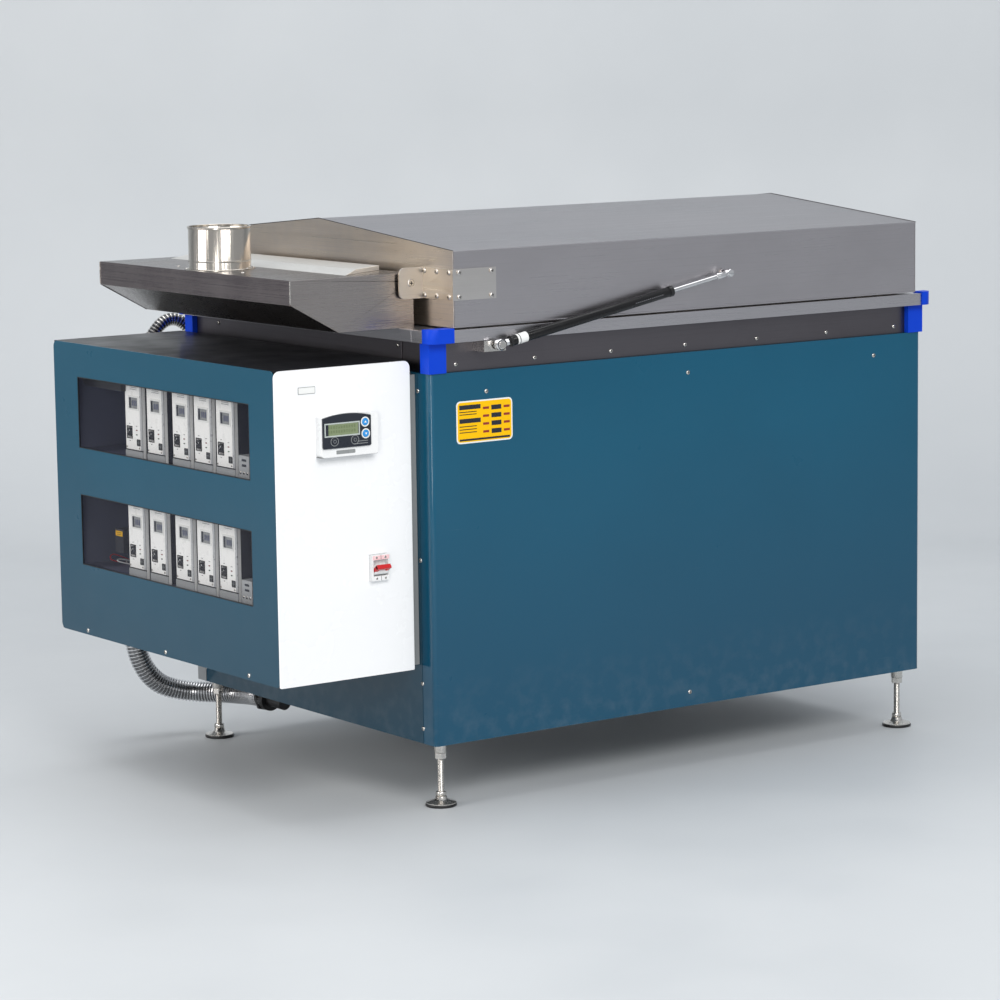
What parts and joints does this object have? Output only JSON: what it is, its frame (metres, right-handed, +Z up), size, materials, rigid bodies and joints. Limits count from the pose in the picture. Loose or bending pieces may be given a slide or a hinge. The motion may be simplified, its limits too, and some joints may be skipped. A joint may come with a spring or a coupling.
{
  "type": "glass kiln",
  "caption": "Floor-standing clamshell glass kiln with a gabled lid on gas struts, an end fume hood and a side control box with power modules.",
  "frame": {"origin": "bottom centre of the whole object, on the floor", "axes": "+X from the control box to the lid's free end, -Y the front, +Z up"},
  "size_m": [1.434, 0.944, 1.012],
  "materials": {
    "frame_paint": "matt primer",
    "grey_paint": "satin",
    "zinc": "zinc plated",
    "teal_paint": "satin powder coat",
    "stainless": "brushed",
    "blue_plastic": "moulded",
    "fibre_board": "soft ceramic fibre",
    "hearth": "fired cordierite",
    "element": "oxidised heating alloy",
    "probe": "alumina sheath",
    "yellow_plate": "printed film",
    "chrome": "bright",
    "bright_steel": "polished",
    "black_gloss": "gloss enamel",
    "white_paint": "gloss powder coat",
    "clear_pane": "clear, lightly tinted",
    "white_plastic": "moulded",
    "dark_plastic": "moulded",
    "conduit_steel": "galvanised strip",
    "seal_rope": "woven ceramic fibre",
    "strut_black": "gloss enamel",
    "red_plastic": "moulded",
    "key_blue": "moulded"
  },
  "bodies": {
    "root": {"base_frame": "frame_paint", "floor_pan": "grey_paint", "foot_sockets": "zinc", "corner_posts": "frame_paint", "front_panel": "teal_paint", "rear_panel": "grey_paint", "end_panels": "teal_paint", "rim_band": "stainless", "rim_flange": "stainless", "rim_corner_caps": "blue_plastic", "chamber_insulation": "fibre_board", "hearth_slab": "hearth", "wall_elements": "element", "thermocouple": "probe", "rating_plates": "yellow_plate", "panel_screws": "chrome", "fume_hood": "stainless", "hood_cover": "bright_steel", "exhaust_collar": "bright_steel", "hinge_pins": "zinc", "control_box_chassis": "black_gloss", "control_box_face": "teal_paint", "side_cover": "white_paint", "window_panes": "clear_pane", "module_shelves": "frame_paint", "power_modules": "white_plastic", "terminal_blocks": "white_plastic", "controller_housing": "white_plastic", "controller_fascia": "dark_plastic", "breaker_body": "white_plastic", "box_spacer": "grey_paint", "conduits": "conduit_steel", "conduit_fittings": "dark_plastic", "strut_brackets": "zinc"},
    "lid": {"lid_shell": "stainless", "lid_insulation": "fibre_board", "lid_elements": "element", "lid_seal": "seal_rope", "lid_hinge_brackets": "zinc"},
    "strut_tubes": {"strut_tubes": "strut_black"},
    "strut_rods": {"strut_rods": "chrome"},
    "breaker_toggle": {"breaker_toggle": "red_plastic"},
    "key_up": {"key_up": "key_blue"},
    "key_down": {"key_down": "key_blue"},
    "key_run": {"key_run": "dark_plastic"},
    "key_stop": {"key_stop": "dark_plastic"},
    "module_rocker_1": {"module_rocker_1": "dark_plastic"},
    "module_rocker_2": {"module_rocker_2": "dark_plastic"},
    "module_rocker_3": {"module_rocker_3": "dark_plastic"},
    "module_rocker_4": {"module_rocker_4": "dark_plastic"},
    "module_rocker_5": {"module_rocker_5": "dark_plastic"},
    "module_rocker_6": {"module_rocker_6": "dark_plastic"},
    "module_rocker_7": {"module_rocker_7": "dark_plastic"},
    "module_rocker_8": {"module_rocker_8": "dark_plastic"},
    "module_rocker_9": {"module_rocker_9": "dark_plastic"},
    "module_rocker_10": {"module_rocker_10": "dark_plastic"},
    "foot_front_left": {"foot_front_left": "chrome"},
    "foot_front_right": {"foot_front_right": "chrome"},
    "foot_rear_left": {"foot_rear_left": "chrome"},
    "foot_rear_right": {"foot_rear_right": "chrome"}
  },
  "joints": [
    {"name": "lid_hinge", "type": "hinge", "parent": "root", "child": "lid", "pos_m": [-0.412, -0.022, 0.915], "axis": [0, -1, 0], "range_deg": [0, 50]},
    {"name": "strut_swing", "type": "hinge", "parent": "root", "child": "strut_tubes", "pos_m": [-0.301, -0.022, 0.809], "axis": [0, -1, 0], "range_deg": [0, 52.2]},
    {"name": "strut_extend", "type": "slide", "parent": "strut_tubes", "child": "strut_rods", "axis": [0.9831, 0, 0.1831], "range_m": [0, 0.1282]},
    {"name": "breaker_toggle", "type": "hinge", "parent": "root", "child": "breaker_toggle", "pos_m": [-0.514, -0.396, 0.429], "axis": [1, 0, 0], "range_deg": [0, 70]},
    {"name": "key_up", "type": "slide", "parent": "root", "child": "key_up", "axis": [0, 1, 0], "range_m": [0, 0.001], "stiffness_N_per_m": 800},
    {"name": "key_down", "type": "slide", "parent": "root", "child": "key_down", "axis": [0, 1, 0], "range_m": [0, 0.001], "stiffness_N_per_m": 800},
    {"name": "key_run", "type": "slide", "parent": "root", "child": "key_run", "axis": [0, 1, 0], "range_m": [0, 0.001], "stiffness_N_per_m": 800},
    {"name": "key_stop", "type": "slide", "parent": "root", "child": "key_stop", "axis": [0, 1, 0], "range_m": [0, 0.001], "stiffness_N_per_m": 800},
    {"name": "module_rocker_1", "type": "hinge", "parent": "root", "child": "module_rocker_1", "pos_m": [-0.681, 0.154, 0.633], "axis": [0, 1, 0], "range_deg": [0, 16]},
    {"name": "module_rocker_2", "type": "hinge", "parent": "root", "child": "module_rocker_2", "pos_m": [-0.681, 0.076, 0.633], "axis": [0, 1, 0], "range_deg": [0, 16]},
    {"name": "module_rocker_3", "type": "hinge", "parent": "root", "child": "module_rocker_3", "pos_m": [-0.681, -0.014, 0.633], "axis": [0, 1, 0], "range_deg": [0, 16]},
    {"name": "module_rocker_4", "type": "hinge", "parent": "root", "child": "module_rocker_4", "pos_m": [-0.681, -0.089, 0.633], "axis": [0, 1, 0], "range_deg": [0, 16]},
    {"name": "module_rocker_5", "type": "hinge", "parent": "root", "child": "module_rocker_5", "pos_m": [-0.681, -0.164, 0.633], "axis": [0, 1, 0], "range_deg": [0, 16]},
    {"name": "module_rocker_6", "type": "hinge", "parent": "root", "child": "module_rocker_6", "pos_m": [-0.681, 0.154, 0.416], "axis": [0, 1, 0], "range_deg": [0, 16]},
    {"name": "module_rocker_7", "type": "hinge", "parent": "root", "child": "module_rocker_7", "pos_m": [-0.681, 0.076, 0.416], "axis": [0, 1, 0], "range_deg": [0, 16]},
    {"name": "module_rocker_8", "type": "hinge", "parent": "root", "child": "module_rocker_8", "pos_m": [-0.681, -0.014, 0.416], "axis": [0, 1, 0], "range_deg": [0, 16]},
    {"name": "module_rocker_9", "type": "hinge", "parent": "root", "child": "module_rocker_9", "pos_m": [-0.681, -0.089, 0.416], "axis": [0, 1, 0], "range_deg": [0, 16]},
    {"name": "module_rocker_10", "type": "hinge", "parent": "root", "child": "module_rocker_10", "pos_m": [-0.681, -0.164, 0.416], "axis": [0, 1, 0], "range_deg": [0, 16]},
    {"name": "foot_front_left_screw", "type": "slide", "parent": "root", "child": "foot_front_left", "axis": [0, 0, -1], "range_m": [0, 0.025]},
    {"name": "foot_front_right_screw", "type": "slide", "parent": "root", "child": "foot_front_right", "axis": [0, 0, -1], "range_m": [0, 0.025]},
    {"name": "foot_rear_left_screw", "type": "slide", "parent": "root", "child": "foot_rear_left", "axis": [0, 0, -1], "range_m": [0, 0.025]},
    {"name": "foot_rear_right_screw", "type": "slide", "parent": "root", "child": "foot_rear_right", "axis": [0, 0, -1], "range_m": [0, 0.025]}
  ],
  "couplings": [
    {"joint": "strut_swing", "follows": "lid_hinge", "ratio": 1.043},
    {"joint": "strut_extend", "follows": "lid_hinge", "m_per_rad": 0.14656}
  ]
}
